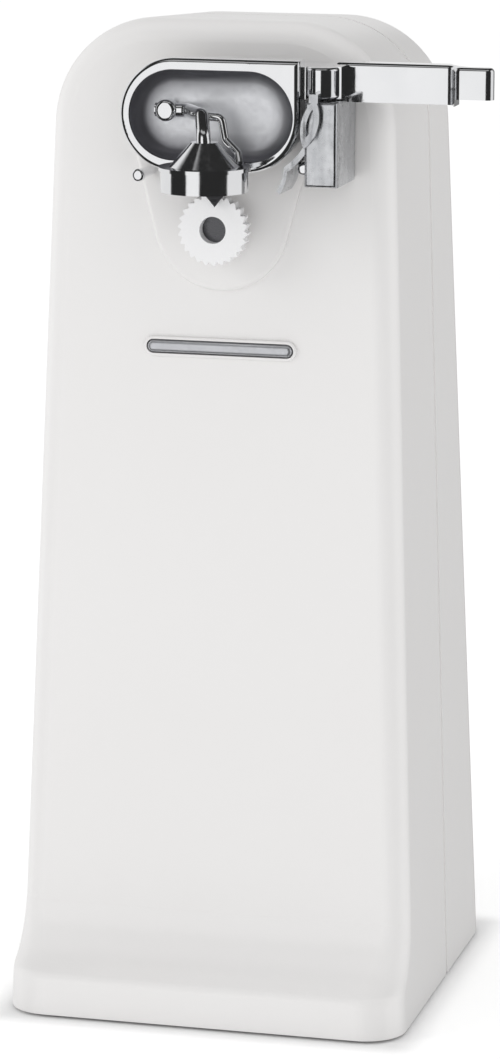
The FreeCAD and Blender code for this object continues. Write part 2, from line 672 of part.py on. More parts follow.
def lever():
    head = stadium(HEAD_LEFT, HEAD_RIGHT, HEAD_BOTTOM, HEAD_TOP, HEAD_FRONT, HEAD_BACK)
    centre_z = 0.5 * (HEAD_BOTTOM + HEAD_TOP)
    head = head.fuse(box(11.0, HEAD_RIGHT, HEAD_FRONT, HEAD_BACK, centre_z, HEAD_TOP)).removeSplitter()
    front_rim = [e for e in head.Edges if e.BoundBox.YMax < HEAD_FRONT + 0.01]
    head = head.makeFillet(1.2, front_rim)
    pocket = stadium(HEAD_LEFT + RIM, HEAD_RIGHT - RIM_RIGHT, HEAD_BOTTOM + RIM_HIGH, HEAD_TOP - RIM_HIGH,
                     HEAD_FRONT - 1.0, DISH_BACK)
    head = head.cut(pocket)
    body = stadium(HEAD_LEFT + 2.0, HEAD_RIGHT - 2.0, HEAD_BOTTOM + 2.0, HEAD_TOP - 2.0,
                   HEAD_BACK, BODY_BACK)
    hub = box(18.0, HUB_RIGHT, -44.0, ARM_BACK, HUB_BOTTOM, HUB_TOP)
    hub = hub.fuse(box(HEAD_RIGHT - 1.0, HEAD_RIGHT + 0.7, -46.5, -43.0, HUB_BOTTOM, HUB_TOP))
    knuckle = rod_z(26.6, -44.0, 3.7, HUB_BOTTOM, HUB_TOP)
    rim = [e for e in knuckle.Edges if e.BoundBox.ZLength < 0.01]
    knuckle = knuckle.makeFillet(0.8, rim)
    arm = arm_profile().extrude(V(0, 0, ARM_TOP - ARM_BOTTOM))
    crest = [e for e in arm.Edges if e.BoundBox.ZMin > ARM_TOP - 0.01 and e.BoundBox.YMin < ARM_FRONT + 0.01]
    arm = arm.makeFillet(1.0, crest)
    clear_block = box(18.0, BLOCK_RIGHT + 0.4, -60.0, -20.0, 200.0, HUB_BOTTOM)
    arm = arm.cut(clear_block)
    under_tab = box(TAB_LEFT + 1.0, TAB_RIGHT + 1.0, -60.0, -20.0, ARM_BOTTOM - 1.0, ARM_BOTTOM + TAB_STEP)
    arm = arm.cut(under_tab)
    solid = fuse(head, body, hub, knuckle, arm)
    slot = box(-5.0, 8.0, BLADE_FRONT, BLADE_BACK, 190.0, 208.3)
    cutters = [slot,
               rod_y(BLADE_SCREW_X, BLADE_SCREW_Z, 1.6, BLADE_BACK - 0.1, BODY_BACK + 1.0),
               rod_y(BLADE_SCREW_X, BLADE_SCREW_Z, 2.8, BODY_BACK - 2.1, BODY_BACK + 1.0),
               rod_y(PIVOT_X, PIVOT_Z, LEVER_SHAFT_RADIUS, -42.0, BODY_BACK + 1.0)]
    return solid.cut(Part.makeCompound(cutters)).removeSplitter()


def lever_dish():
    """Satin oval tray: walls slope in to a flat floor."""
    x0, x1 = HEAD_LEFT + RIM, HEAD_RIGHT - RIM_RIGHT
    z0, z1 = HEAD_BOTTOM + RIM_HIGH, HEAD_TOP - RIM_HIGH
    front = HEAD_FRONT + 0.5
    tray = stadium(x0, x1, z0, z1, front, DISH_BACK)
    mouth = stadium_wire(x0 + 0.6, x1 - 0.6, z0 + 0.6, z1 - 0.6, front)
    step = stadium_wire(x0 + 2.4, x1 - 2.4, z0 + 2.4, z1 - 2.4, front + 1.9)
    floor = stadium_wire(x0 + 5.2, x1 - 5.2, z0 + 5.2, z1 - 5.2, DISH_FLOOR)
    upper = Part.makeLoft([mouth, step], True, True)
    lower = Part.makeLoft([step, floor], True, True)
    return tray.cut(upper).cut(lower)


def blade():
    """Pointed cutter: the tip dips just in front of the drive wheel."""
    outline = [(1.6, 188.1), (3.6, 190.6), (4.2, 193.5), (7.5, 197.5), (7.5, 208.0), (-4.5, 208.0),
               (-4.5, 197.5), (-0.8, 193.5), (-0.1, 190.4)]
    plate = prism([V(x, BLADE_FRONT, z) for x, z in outline], V(0, BLADE_BACK - BLADE_FRONT, 0))
    wedge = prism([V(-10, BLADE_FRONT, 192.5), V(-10, BLADE_FRONT, 185.0), V(-10, BLADE_BACK - 0.3, 185.0),
                   V(-10, BLADE_BACK - 0.3, 188.0)], V(25, 0, 0))
    plate = plate.cut(wedge)
    return plate.cut(rod_y(BLADE_SCREW_X, BLADE_SCREW_Z, 1.5, -50.0, -30.0))


def blade_screw():
    return head_screw(BLADE_SCREW_X, BLADE_SCREW_Z, BODY_BACK - 0.1, BLADE_FRONT, 2.6, 1.5, 2.0)


def lever_shaft():
    return rod_y(PIVOT_X, PIVOT_Z, LEVER_SHAFT_RADIUS, -42.0, -6.4).cut(
        ring(PIVOT_X, PIVOT_Z, 3.0, 4.5, -25.4, -24.6))


def ring(x, z, inner, outer, y0, y1):
    return rod_y(x, z, outer, y0, y1).cut(rod_y(x, z, inner, y0 - 1.0, y1 + 1.0))


def lever_bush():
    flange = rod_y(PIVOT_X, PIVOT_Z, 7.0, -33.3, -31.9)
    body = fuse(flange, rod_y(PIVOT_X, PIVOT_Z, 5.45, -33.3, -27.2))
    return body.cut(rod_y(PIVOT_X, PIVOT_Z, LEVER_SHAFT_RADIUS + RUNNING_CLEARANCE, -40.0, -20.0))


def clip(x, z, inner, outer, y0, y1):
    """Open spring clip that snaps into a groove."""
    return ring(x, z, inner, outer, y0, y1).cut(box(x - 0.7 * inner, x + 0.7 * inner, y0 - 1, y1 + 1,
                                                    z - outer - 1.0, z))


def switch_cam():
    """Collar with one finger that points at the switch plunger when the lever is down."""
    collar = rod_y(PIVOT_X, PIVOT_Z, 6.0, -11.0, -7.0)
    finger = box(PIVOT_X, PIVOT_X + 10.4, -11.0, -7.0, PIVOT_Z - 1.6, PIVOT_Z + 1.6)
    nose = rod_y(PIVOT_X + 10.4, PIVOT_Z, 1.6, -11.0, -7.0)
    return fuse(collar, finger, nose).cut(rod_y(PIVOT_X, PIVOT_Z, LEVER_SHAFT_RADIUS, -12.0, -6.0))


def latch_loop():
    """Wire-like loop that hangs from the hub in front of the stop block, on a short tab."""
    y0, y1 = -51.4, -49.9

    def leaf(top, right, bottom, left):
        high, low = V(top[0], y0, top[1]), V(bottom[0], y0, bottom[1])
        side = Part.Arc(high, V(right[0], y0, right[1]), low).toShape()
        other = Part.Arc(low, V(left[0], y0, left[1]), high).toShape()
        return Part.Face(Part.Wire([side, other])).extrude(V(0, y1 - y0, 0))

    loop = leaf((26.8, 213.6), (27.6, 208.4), (24.3, 202.8), (23.7, 208.4))
    loop = loop.cut(leaf((26.2, 211.4), (26.5, 208.4), (24.8, 205.4), (24.9, 208.4)))
    tab = box(25.4, 27.4, y0, -45.0, 212.7, 214.6)
    return loop.fuse(tab).removeSplitter().cut(lever())


# ---- magnet ---------------------------------------------------------------------------------

def magnet_post():
    post = rod_y(MAGNET_PIN_X, PIVOT_Z, 2.4, -50.2, DISH_FLOOR)
    cap = [e for e in post.Edges if e.BoundBox.YMax < -50.1]
    post = post.makeFillet(1.0, cap)
    return post.cut(rod_x(MAGNET_PIN_Y, PIVOT_Z, ARM_ROD_RADIUS + RUNNING_CLEARANCE, -12.0, 0.0))


def magnet_arm():
    top = CUP_BOTTOM + CUP_HEIGHT + 0.8 + CONE_HEIGHT
    points = [V(MAGNET_PIN_X - 2.6, MAGNET_PIN_Y, PIVOT_Z), V(-2.3, MAGNET_PIN_Y, PIVOT_Z),
              V(2.6, -54.8, 209.8), V(MAGNET_X - 0.2, MAGNET_Y, top + 1.2),
              V(MAGNET_X, MAGNET_Y, top - 2.0)]
    return bent_rod(points, 2.6, ARM_ROD_RADIUS)


def magnet_stay():
    """Thin brace from the arm's bend, behind the cone, to the lip of the cup."""
    points = [V(1.0, -52.6, 209.4), V(6.4, -52.6, 209.2), V(7.4, -53.0, 204.4),
              V(10.6, -55.0, 202.0), V(11.4, -56.4, 199.9)]
    return bent_rod(points, 1.4, 0.9).cut(magnet_arm())


def magnet_cup():
    """Cup that opens downwards over the magnet, with a thin lip and a cone on top."""
    lip_z = CUP_BOTTOM + CUP_HEIGHT
    cup = fuse(rod_z(MAGNET_X, MAGNET_Y, CUP_RADIUS, CUP_BOTTOM, lip_z),
               rod_z(MAGNET_X, MAGNET_Y, CUP_RADIUS + 0.35, lip_z, lip_z + 0.8),
               Part.makeCone(7.6, 2.9, CONE_HEIGHT, V(MAGNET_X, MAGNET_Y, lip_z + 0.8)))
    cup = cup.cut(rod_z(MAGNET_X, MAGNET_Y, 7.6, CUP_BOTTOM - 1.0, CUP_BOTTOM + 4.2))
    return cup.cut(magnet_arm()).cut(magnet_stay())


def magnet():
    return rod_z(MAGNET_X, MAGNET_Y, 7.6, CUP_BOTTOM + 0.2, CUP_BOTTOM + 4.2)


# ---- drive ----------------------------------------------------------------------------------

def drive_wheel():
    """Feed wheel with saw teeth, a hub behind it and an open bore in front of the shaft end."""
    points = []
    for k in range(WHEEL_TEETH):
        start = k * TAU / WHEEL_TEETH
        for radius, share in ((WHEEL_RADIUS - 0.8, 0.0), (WHEEL_RADIUS, 0.62), (WHEEL_RADIUS, 0.78)):
            a = start + share * TAU / WHEEL_TEETH
            points.append(V(DRIVE_X + radius * math.cos(a), WHEEL_FRONT, DRIVE_Z + radius * math.sin(a)))
    disc = prism(points, V(0, WHEEL_BACK - WHEEL_FRONT, 0))
    hub = rod_y(DRIVE_X, DRIVE_Z, 5.4, WHEEL_BACK, -33.6)
    wheel = disc.fuse(hub)
    bore = rod_y(DRIVE_X, DRIVE_Z, DRIVE_SHAFT_RADIUS, -45.0, -30.0)
    return wheel.cut(bore).removeSplitter()


def drive_shaft():
    shaft = rod_y(DRIVE_X, DRIVE_Z, DRIVE_SHAFT_RADIUS, -36.6, -0.8)
    return shaft.cut(ring(DRIVE_X, DRIVE_Z, 2.4, 4.0, -2.0, -1.4))


def front_bush():
    body = fuse(rod_y(DRIVE_X, DRIVE_Z, 5.0, -33.2, -24.6), rod_y(DRIVE_X, DRIVE_Z, 6.6, -25.5, -24.6))
    return body.cut(rod_y(DRIVE_X, DRIVE_Z, DRIVE_SHAFT_RADIUS + RUNNING_CLEARANCE, -40.0, -20.0))


def rear_bush():
    body = fuse(rod_y(DRIVE_X, DRIVE_Z, 4.6, -5.9, -2.1), rod_y(DRIVE_X, DRIVE_Z, 6.0, -5.9, -5.0))
    return body.cut(rod_y(DRIVE_X, DRIVE_Z, DRIVE_SHAFT_RADIUS + RUNNING_CLEARANCE, -10.0, 2.0))


PHASE_1_PINION, PHASE_1_GEAR = mesh_phases(MOTOR_X, MOTOR_Z, FIRST_X, FIRST_Z, STAGE_1[1])
PHASE_2_PINION, PHASE_2_GEAR = mesh_phases(FIRST_X, FIRST_Z, SECOND_X, SECOND_Z, STAGE_2[1])
PHASE_3_PINION, PHASE_3_GEAR = mesh_phases(SECOND_X, SECOND_Z, DRIVE_X, DRIVE_Z, STAGE_3[1])


def output_gear():
    wheel = gear(DRIVE_X, DRIVE_Z, STAGE_3[1], STAGE_3[2], -PROFILE_SHIFT, PHASE_3_GEAR, -24.0, -18.0)
    web = ring(DRIVE_X, DRIVE_Z, 7.5, 18.0, -24.5, -22.4).fuse(
        ring(DRIVE_X, DRIVE_Z, 7.5, 18.0, -19.6, -17.0))
    hub = rod_y(DRIVE_X, DRIVE_Z, 7.0, -24.3, -14.0)
    blank = wheel.cut(web).fuse(hub)
    return blank.cut(rod_y(DRIVE_X, DRIVE_Z, DRIVE_SHAFT_RADIUS, -30.0, -10.0)).removeSplitter()


def compound_gear(x, z, gear_stage, gear_phase, pinion_stage, pinion_phase, gear_y, pinion_y, web_radius):
    """Moulded wheel and pinion in one piece, bored to run on its axle."""
    wheel = gear(x, z, gear_stage[1], gear_stage[2], -PROFILE_SHIFT, gear_phase, *gear_y)
    pinion = gear(x, z, pinion_stage[0], pinion_stage[2], PROFILE_SHIFT, pinion_phase, *pinion_y)
    relief = ring(x, z, 5.0, web_radius, gear_y[1] - 1.3, gear_y[1] + 1.0)
    bore = rod_y(x, z, AXLE_RADIUS + RUNNING_CLEARANCE, -40.0, 10.0)
    return wheel.cut(relief).fuse(pinion).cut(bore).removeSplitter()


def second_gear():
    return compound_gear(SECOND_X, SECOND_Z, STAGE_2, PHASE_2_GEAR, STAGE_3, PHASE_3_PINION,
                         (-16.5, -12.0), (-24.6, -16.5), 13.5)


def first_gear():
    return compound_gear(FIRST_X, FIRST_Z, STAGE_1, PHASE_1_GEAR, STAGE_2, PHASE_2_PINION,
                         (-10.8, -7.0), (-17.4, -10.8), 11.5)


def motor_pinion():
    pinion = gear(MOTOR_X, MOTOR_Z, STAGE_1[0], STAGE_1[2], PROFILE_SHIFT, PHASE_1_PINION, -11.4, -6.6)
    return pinion.cut(rod_y(MOTOR_X, MOTOR_Z, 1.6, -20.0, 0.0))


def axle(x, z):
    return rod_y(x, z, AXLE_RADIUS, FRONT_FRAME_Y, REAR_FRAME_Y + PLATE)


def gear_frame_front():
    plate = box(-FRAME_HALF_WIDTH, FRAME_HALF_WIDTH, FRONT_FRAME_Y, FRONT_FRAME_Y + PLATE, 127.0, FRAME_TOP)
    corners = [e for e in plate.Edges if e.BoundBox.YLength > 0.5 * PLATE and e.BoundBox.ZLength < 0.1
               and e.BoundBox.XLength < 0.1]
    plate = plate.makeFillet(4.0, corners)
    holes = [rod_y(x, z, 1.6, -40, 0) for x, z in POST_SPOTS]
    holes += [rod_y(SECOND_X, SECOND_Z, AXLE_RADIUS, -40, 0), rod_y(FIRST_X, FIRST_Z, AXLE_RADIUS, -40, 0)]
    holes.append(rod_y(DRIVE_X, DRIVE_Z, 5.0, -40, 0))
    holes.append(rod_y(PIVOT_X, PIVOT_Z, LEVER_SHAFT_RADIUS + 0.1, -40, 0))
    return plate.cut(Part.makeCompound(holes))


SWITCH_SCREW_SPOTS = [(12.5, 203.0), (12.5, 216.0)]
MOTOR_SCREW_X = 20.0


def gear_frame_rear():
    plate = box(-FRAME_HALF_WIDTH, FRAME_HALF_WIDTH, REAR_FRAME_Y, REAR_FRAME_Y + PLATE, 112.0, FRAME_TOP)
    corners = [e for e in plate.Edges if e.BoundBox.YLength > 0.5 * PLATE and e.BoundBox.ZLength < 0.1
               and e.BoundBox.XLength < 0.1]
    plate = plate.makeFillet(4.0, corners)
    holes = [rod_y(x, z, 1.6, -40, 10) for x, z in POST_SPOTS]
    holes += [rod_y(SECOND_X, SECOND_Z, AXLE_RADIUS, -40, 10), rod_y(FIRST_X, FIRST_Z, AXLE_RADIUS, -40, 10)]
    holes += [rod_y(DRIVE_X, DRIVE_Z, 4.6, -40, 10), rod_y(MOTOR_X, MOTOR_Z, 4.5, -40, 10)]
    holes += [rod_y(x, z, 1.1, -40, 10) for x, z in SWITCH_SCREW_SPOTS]
    holes += [rod_y(s * MOTOR_SCREW_X, MOTOR_Z, 1.6, -40, 10) for s in (-1, 1)]
    return plate.cut(Part.makeCompound(holes))


def standoffs():
    return spread([ring(x, z, 1.6, 3.0, FRONT_FRAME_Y + PLATE, REAR_FRAME_Y) for x, z in POST_SPOTS])


def frame_screws():
    return spread([head_screw(x, z, REAR_FRAME_Y + PLATE + 2.0, front_at(z) + WALL - 0.2, 2.8, 1.25, 2.0)
                   for x, z in POST_SPOTS])


# ---- motor ----------------------------------------------------------------------------------

def stator():
    """Laminated frame: rotor bore above, and a lower limb that carries the coil."""
    top = MOTOR_Z + 17.0
    block = box(-STATOR_HALF_WIDTH, STATOR_HALF_WIDTH, STATOR_FRONT, STATOR_BACK, LIMB_BOTTOM, top)
    corners = [e for e in block.Edges if e.BoundBox.ZLength < 0.1 and e.BoundBox.XLength < 0.1]
    block = block.makeFillet(3.0, corners)
    bore = rod_y(MOTOR_X, MOTOR_Z, ROTOR_RADIUS + AIR_GAP, 0.0, 30.0)
    window = box(-15.4, 15.4, 0.0, 30.0, LIMB_TOP, 107.5)
    waists = [box(s * 10.0 - 1.0, s * 10.0 + 1.0, 0.0, 30.0, 107.0, 114.5) for s in (-1, 1)]
    holes = [rod_y(s * MOTOR_SCREW_X, MOTOR_Z, 1.8, 0.0, 30.0) for s in (-1, 1)]
    return block.cut(Part.makeCompound([bore, window] + holes)).cut(Part.makeCompound(waists))


def bobbin():
    sleeve = box(-15.2, 15.2, STATOR_FRONT - 1.4, STATOR_BACK + 1.4, LIMB_BOTTOM - 1.4, LIMB_TOP + 1.4)
    for x in (-15.2, 14.0):
        sleeve = sleeve.fuse(box(x, x + 1.2, -5.6, 27.6, 76.0, 104.0))
    limb = box(-20.0, 20.0, STATOR_FRONT, STATOR_BACK, LIMB_BOTTOM, LIMB_TOP)
    return sleeve.cut(limb).removeSplitter()


def coil():
    winding = box(-14.0, 14.0, -4.6, 26.6, 77.2, 102.8)
    long_edges = [e for e in winding.Edges if e.BoundBox.XLength > 20.0]
    winding = winding.makeFillet(4.5, long_edges)
    return winding.cut(box(-20.0, 20.0, STATOR_FRONT - 1.4, STATOR_BACK + 1.4,
                           LIMB_BOTTOM - 1.4, LIMB_TOP + 1.4))


def rotor():
    core = rod_y(MOTOR_X, MOTOR_Z, ROTOR_RADIUS, STATOR_FRONT + 0.4, STATOR_BACK - 0.6)
    return core.cut(rod_y(MOTOR_X, MOTOR_Z, 2.0, 0.0, 30.0))


def rotor_shaft():
    return fuse(rod_y(MOTOR_X, MOTOR_Z, 1.6, -11.8, -6.4), rod_y(MOTOR_X, MOTOR_Z, 2.0, -6.4, 36.2))


def cooling_fan():
    hub = rod_y(MOTOR_X, MOTOR_Z, 5.0, 28.2, 35.4)
    blades = []
    for k in range(7):
        vane = box(-0.6, 0.6, 28.4, 35.2, 4.0, 18.0)
        vane.rotate(V(0, 31.8, 11.0), V(0, 0, 1), 32)
        vane.rotate(V(0, 0, 0), V(0, 1, 0), k * 360.0 / 7)
        vane.translate(V(MOTOR_X, 0, MOTOR_Z))
        blades.append(vane)
    return fuse(hub, *blades).cut(rod_y(MOTOR_X, MOTOR_Z, 2.0, 20.0, 40.0))


def motor_bearing(y0, y1):
    return ring(MOTOR_X, MOTOR_Z, 2.0 + RUNNING_CLEARANCE, 4.5, y0, y1)


def motor_bracket():
    """Stamped strap across the back of the stator, with a cup for the rear bearing."""
    strap = stadium(-STATOR_HALF_WIDTH, STATOR_HALF_WIDTH, MOTOR_Z - 7.0, MOTOR_Z + 7.0,
                    STATOR_BACK, STATOR_BACK + PLATE)
    cup = rod_y(MOTOR_X, MOTOR_Z, 6.4, STATOR_BACK, 26.8)
    seat = rod_y(MOTOR_X, MOTOR_Z, 4.5, 22.0, 30.0)
    mouth = rod_y(MOTOR_X, MOTOR_Z, 4.0, STATOR_BACK - 1.0, 23.0)
    holes = [rod_y(s * MOTOR_SCREW_X, MOTOR_Z, 1.8, 10.0, 30.0) for s in (-1, 1)]
    return fuse(strap, cup).cut(Part.makeCompound([seat, mouth] + holes))


def motor_spacers():
    return spread([ring(s * MOTOR_SCREW_X, MOTOR_Z, 1.8, 3.2, REAR_FRAME_Y + PLATE, STATOR_FRONT)
                   for s in (-1, 1)])


def motor_screws():
    return spread([head_screw(s * MOTOR_SCREW_X, MOTOR_Z, STATOR_BACK + PLATE + 2.0, REAR_FRAME_Y - 1.5,
                              2.9, 1.6, 2.0) for s in (-1, 1)])


# ---- switch ---------------------------------------------------------------------------------

PLUNGER_TIP = 3.6


def microswitch():
    body = box(5.4, 15.6, -11.4, REAR_FRAME_Y, 199.5, 219.5)
    terminals = [box(15.6, 19.0, -8.6, -8.0, z - 1.6, z + 1.6) for z in (213.5, 217.5)]
    holes = [rod_y(x, z, 1.1, -20, 0) for x, z in SWITCH_SCREW_SPOTS]
    guide = rod_x(-9.0, PIVOT_Z, 1.25, 0.0, 8.4)
    return fuse(body, *terminals).cut(Part.makeCompound(holes + [guide]))


def switch_plunger():
    return rod_x(-9.0, PIVOT_Z, 1.2, PLUNGER_TIP, 7.4)


def switch_screws():
    return spread([head_screw(x, z, -13.0, REAR_FRAME_Y + PLATE, 2.0, 1.1, 1.6)
                   for x, z in SWITCH_SCREW_SPOTS])


# ---- export ---------------------------------------------------------------------------------

SUB_PARTS = {
    "front_shell": front_shell,
    "rear_shell": rear_shell,
    "base_plate": base_plate,
    "foot_ring": foot_ring,
    "base_screws": base_screws,
    "shell_screws": shell_screws,
    "cord_grommet": cord_grommet,
    "bar_bezel": bar_bezel,
    "stability_bar": stability_bar,
    "guide_posts": guide_posts,
    "stop_block": stop_block,
    "block_pad": block_pad,
    "block_screws": block_screws,
    "can_guide": can_guide,
    "lever": lever,
    "lever_dish": lever_dish,
    "blade": blade,
    "blade_screw": blade_screw,
    "lever_shaft": lever_shaft,
    "lever_bush": lever_bush,
    "spring_washer": lambda: ring(PIVOT_X, PIVOT_Z, 3.8, 6.6, -34.0, -33.4),
    "latch_loop": latch_loop,
    "lever_clip": lambda: clip(PIVOT_X, PIVOT_Z, 3.0, 5.6, -25.4, -24.6),
    "switch_cam": switch_cam,
    "magnet_post": magnet_post,
    "magnet_arm": magnet_arm,
    "magnet_stay": magnet_stay,
    "magnet_cup": magnet_cup,
    "magnet": magnet,
    "drive_wheel": drive_wheel,
    "drive_shaft": drive_shaft,
    "drive_clip": lambda: clip(DRIVE_X, DRIVE_Z, 2.4, 5.2, -2.0, -1.4),
    "front_bush": front_bush,
    "rear_bush": rear_bush,
    "output_gear": output_gear,
    "second_gear": second_gear,
    "second_axle": lambda: axle(SECOND_X, SECOND_Z),
    "first_gear": first_gear,
    "first_axle": lambda: axle(FIRST_X, FIRST_Z),
    "motor_pinion": motor_pinion,
    "gear_frame_front": gear_frame_front,
    "gear_frame_rear": gear_frame_rear,
    "standoffs": standoffs,
    "frame_screws": frame_screws,
    "stator": stator,
    "bobbin": bobbin,
    "coil": coil,
    "rotor": rotor,
    "rotor_shaft": rotor_shaft,
    "cooling_fan": cooling_fan,
    "motor_bearing_front": lambda: motor_bearing(-6.0, -2.0),
    "motor_bearing_rear": lambda: motor_bearing(23.0, 26.8),
    "motor_bracket": motor_bracket,
    "motor_spacers": motor_spacers,
    "motor_screws": motor_screws,
    "microswitch": microswitch,
    "switch_plunger": switch_plunger,
    "switch_screws": switch_screws,
}

os.makedirs("parts", exist_ok=True)
for name, make in SUB_PARTS.items():
    sub_part = make()
    sub_part.translate(V(0, 0, -TABLE))
    sub_part.exportStep("parts/" + name + ".step")
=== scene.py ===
"""Looks for the electric can opener: finishes, sculpted pieces, camera, light and floor."""
import json
import math

import bmesh
import bpy
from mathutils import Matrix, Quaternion, Vector

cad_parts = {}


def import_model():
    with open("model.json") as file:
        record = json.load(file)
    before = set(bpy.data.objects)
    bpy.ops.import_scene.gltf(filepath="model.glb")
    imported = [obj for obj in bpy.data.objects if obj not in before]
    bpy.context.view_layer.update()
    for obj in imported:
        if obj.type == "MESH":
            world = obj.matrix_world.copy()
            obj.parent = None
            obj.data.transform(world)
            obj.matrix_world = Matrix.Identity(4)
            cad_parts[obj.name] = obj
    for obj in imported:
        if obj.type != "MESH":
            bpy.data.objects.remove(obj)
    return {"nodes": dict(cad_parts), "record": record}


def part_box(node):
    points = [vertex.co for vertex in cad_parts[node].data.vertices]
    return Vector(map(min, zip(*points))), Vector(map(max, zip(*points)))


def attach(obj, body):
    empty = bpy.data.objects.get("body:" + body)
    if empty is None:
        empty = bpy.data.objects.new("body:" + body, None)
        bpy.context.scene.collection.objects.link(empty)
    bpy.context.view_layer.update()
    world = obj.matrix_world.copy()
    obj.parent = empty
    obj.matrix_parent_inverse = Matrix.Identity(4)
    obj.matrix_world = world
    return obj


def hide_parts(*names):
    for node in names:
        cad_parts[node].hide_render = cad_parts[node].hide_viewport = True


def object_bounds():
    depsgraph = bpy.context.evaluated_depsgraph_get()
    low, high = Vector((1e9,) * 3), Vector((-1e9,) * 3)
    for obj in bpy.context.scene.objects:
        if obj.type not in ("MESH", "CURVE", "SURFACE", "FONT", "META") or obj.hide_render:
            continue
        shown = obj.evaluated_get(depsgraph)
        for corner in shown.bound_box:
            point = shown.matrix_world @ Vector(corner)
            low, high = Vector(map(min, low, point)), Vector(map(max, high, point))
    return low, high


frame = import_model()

cad_box = [list(p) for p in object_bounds()]
low, high = (Vector(p) for p in cad_box)
TAU = 2.0 * math.pi
MM = 0.001                    # metres in a millimetre
PER_METRE = 1000.0            # millimetres in a metre


def direction(azimuth, elevation):
    """Unit vector away from the object, in degrees round from its front and degrees up."""
    a, e = math.radians(azimuth), math.radians(elevation)
    return Vector((math.sin(a) * math.cos(e), -math.cos(a) * math.cos(e), math.sin(e)))


def middle_mm(lo, hi):
    """Middle of a box that is given in metres, in millimetres."""
    return (lo + hi) * (0.5 * PER_METRE)


# ---- camera -----------------------------------------------------------------------------------

SENSOR_WIDTH = 36.0
LENS = 145.37
CLIP_NEAR, CLIP_FAR = 0.05, 60.0
TARGET = Vector((-0.00172, 0.0040, 0.10475))
AZIMUTH = 14.52
PITCH = 11.827
ROLL = 0.136
DISTANCE = 0.99683


def place_camera():
    data = bpy.data.cameras.new("camera")
    data.sensor_width = SENSOR_WIDTH
    data.lens = LENS
    data.clip_start = CLIP_NEAR
    data.clip_end = CLIP_FAR
    cam = bpy.data.objects.new("camera", data)
    bpy.context.scene.collection.objects.link(cam)
    away = direction(AZIMUTH, PITCH)
    roll = Quaternion((0.0, 0.0, 1.0), math.radians(ROLL))
    cam.location = TARGET + away * DISTANCE
    cam.rotation_mode = "QUATERNION"
    cam.rotation_quaternion = (-away).to_track_quat("-Z", "Y") @ roll
    bpy.context.scene.camera = cam


place_camera()


# ---- materials --------------------------------------------------------------------------------

NOISE_LOW, NOISE_HIGH = 0.3, 0.7    # the part of its 0 to 1 range that noise mostly covers


class Nodes:
    """A node tree, emptied, with short ways to add and link nodes."""

    def __init__(self, tree):
        self.tree = tree
        self.tree.nodes.clear()

    def node(self, kind, **settings):
        made = self.tree.nodes.new(kind)
        for key, value in settings.items():
            setattr(made, key, value)
        return made

    def feed(self, socket, value):
        if isinstance(value, bpy.types.NodeSocket):
            self.tree.links.new(value, socket)
        else:
            socket.default_value = value

    def math(self, operation, a, b=0.0):
        made = self.node("ShaderNodeMath", operation=operation)
        self.feed(made.inputs[0], a)
        self.feed(made.inputs[1], b)
        return made.outputs[0]

    def smooth(self, value, lo, hi, top=1.0):
        """Rises from 0 to top as value goes from lo to hi, with soft ends."""
        made = self.node("ShaderNodeMapRange", interpolation_type="SMOOTHSTEP")
        self.feed(made.inputs["Value"], value)
        made.inputs["From Min"].default_value = lo
        made.inputs["From Max"].default_value = hi
        made.inputs["To Max"].default_value = top
        return made.outputs["Result"]

    def past(self, value, limit):
        """How far value lies outside -limit to limit."""
        return self.math("MAXIMUM", self.math("SUBTRACT", self.math("ABSOLUTE", value), limit), 0.0)

    def hypotenuse(self, a, b):
        return self.math("SQRT", self.math("ADD", self.math("MULTIPLY", a, a), self.math("MULTIPLY", b, b)))


